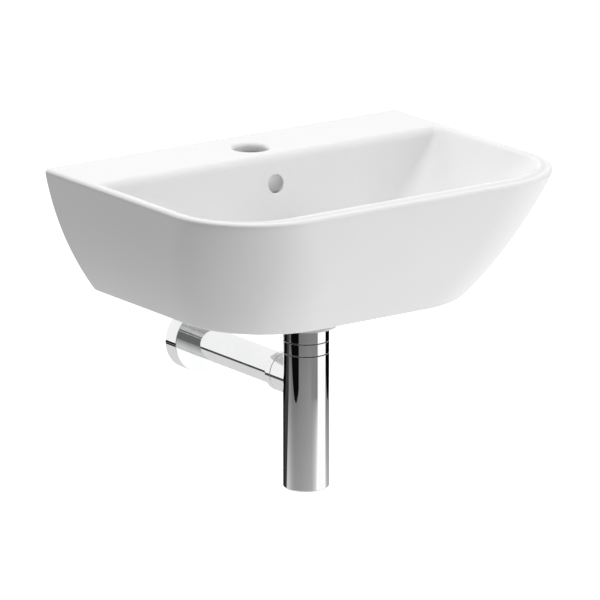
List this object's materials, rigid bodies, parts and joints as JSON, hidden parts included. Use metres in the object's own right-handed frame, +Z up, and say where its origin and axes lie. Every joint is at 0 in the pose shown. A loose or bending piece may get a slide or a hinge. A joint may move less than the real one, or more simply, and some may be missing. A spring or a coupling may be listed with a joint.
{
  "type": "cloakroom basin",
  "caption": "Small wall-hung ceramic basin with a back tap deck, overflow, push plug, slim chrome bottle trap and a wall outlet pipe with flange.",
  "frame": {"origin": "midway between the two wall bolts, in the plane of the wall that the basin's back rests on", "axes": "+X to the right of a user who faces the wall, +Y into the wall, +Z up"},
  "size_m": [0.41, 0.376, 0.3126],
  "materials": {
    "ceramic": "white glaze, glossy",
    "chrome": "polished",
    "rubber": "matte",
    "white_rubber": "matte",
    "brass": "machined",
    "steel": "zinc plated",
    "white_plastic": "moulded"
  },
  "bodies": {
    "basin_and_trap": {"basin": "ceramic", "waste_body": "chrome", "waste_top_gasket": "rubber", "waste_lower_gasket": "white_rubber", "waste_backnut": "chrome", "plug_cartridge": "brass", "plug_gland": "brass", "plug_spring": "steel", "trap_coupling_nut": "chrome", "trap_inlet_washer": "rubber", "trap_bottle": "chrome", "trap_dip_tube": "chrome", "outlet_nut": "chrome", "outlet_olive": "rubber", "outlet_pipe": "chrome", "fixing_bolts": "steel", "fixing_bushes": "white_plastic", "fixing_washers": "steel", "fixing_nuts": "steel"},
    "plug": {"plug_cap": "chrome", "plug_seal": "rubber", "plug_stem": "brass"},
    "flange": {"wall_flange": "chrome", "flange_seal": "rubber"},
    "trap_plug_seal": {"trap_base_seal": "rubber"},
    "trap_plug": {"trap_base_plug": "chrome"}
  },
  "joints": [
    {"name": "plug_press", "type": "slide", "parent": "basin_and_trap", "child": "plug", "axis": [0, 0, -1], "range_m": [0, 0.009], "stiffness_N_per_m": 250, "springref_m": -0.006, "deforming": ["plug_spring"]},
    {"name": "flange_slide", "type": "slide", "parent": "basin_and_trap", "child": "flange", "axis": [0, -1, 0], "range_m": [0, 0.13]},
    {"name": "trap_plug_drop", "type": "slide", "parent": "basin_and_trap", "child": "trap_plug_seal", "axis": [0, 0, -1], "range_m": [0, 0.008]},
    {"name": "trap_plug_turn", "type": "hinge", "parent": "trap_plug_seal", "child": "trap_plug", "pos_m": [0, -0.133, -0.25], "axis": [0, 0, -1], "range_deg": [0, 1440]}
  ],
  "couplings": [
    {"joint": "trap_plug_turn", "follows": "trap_plug_drop", "rad_per_m": 3141.6}
  ]
}
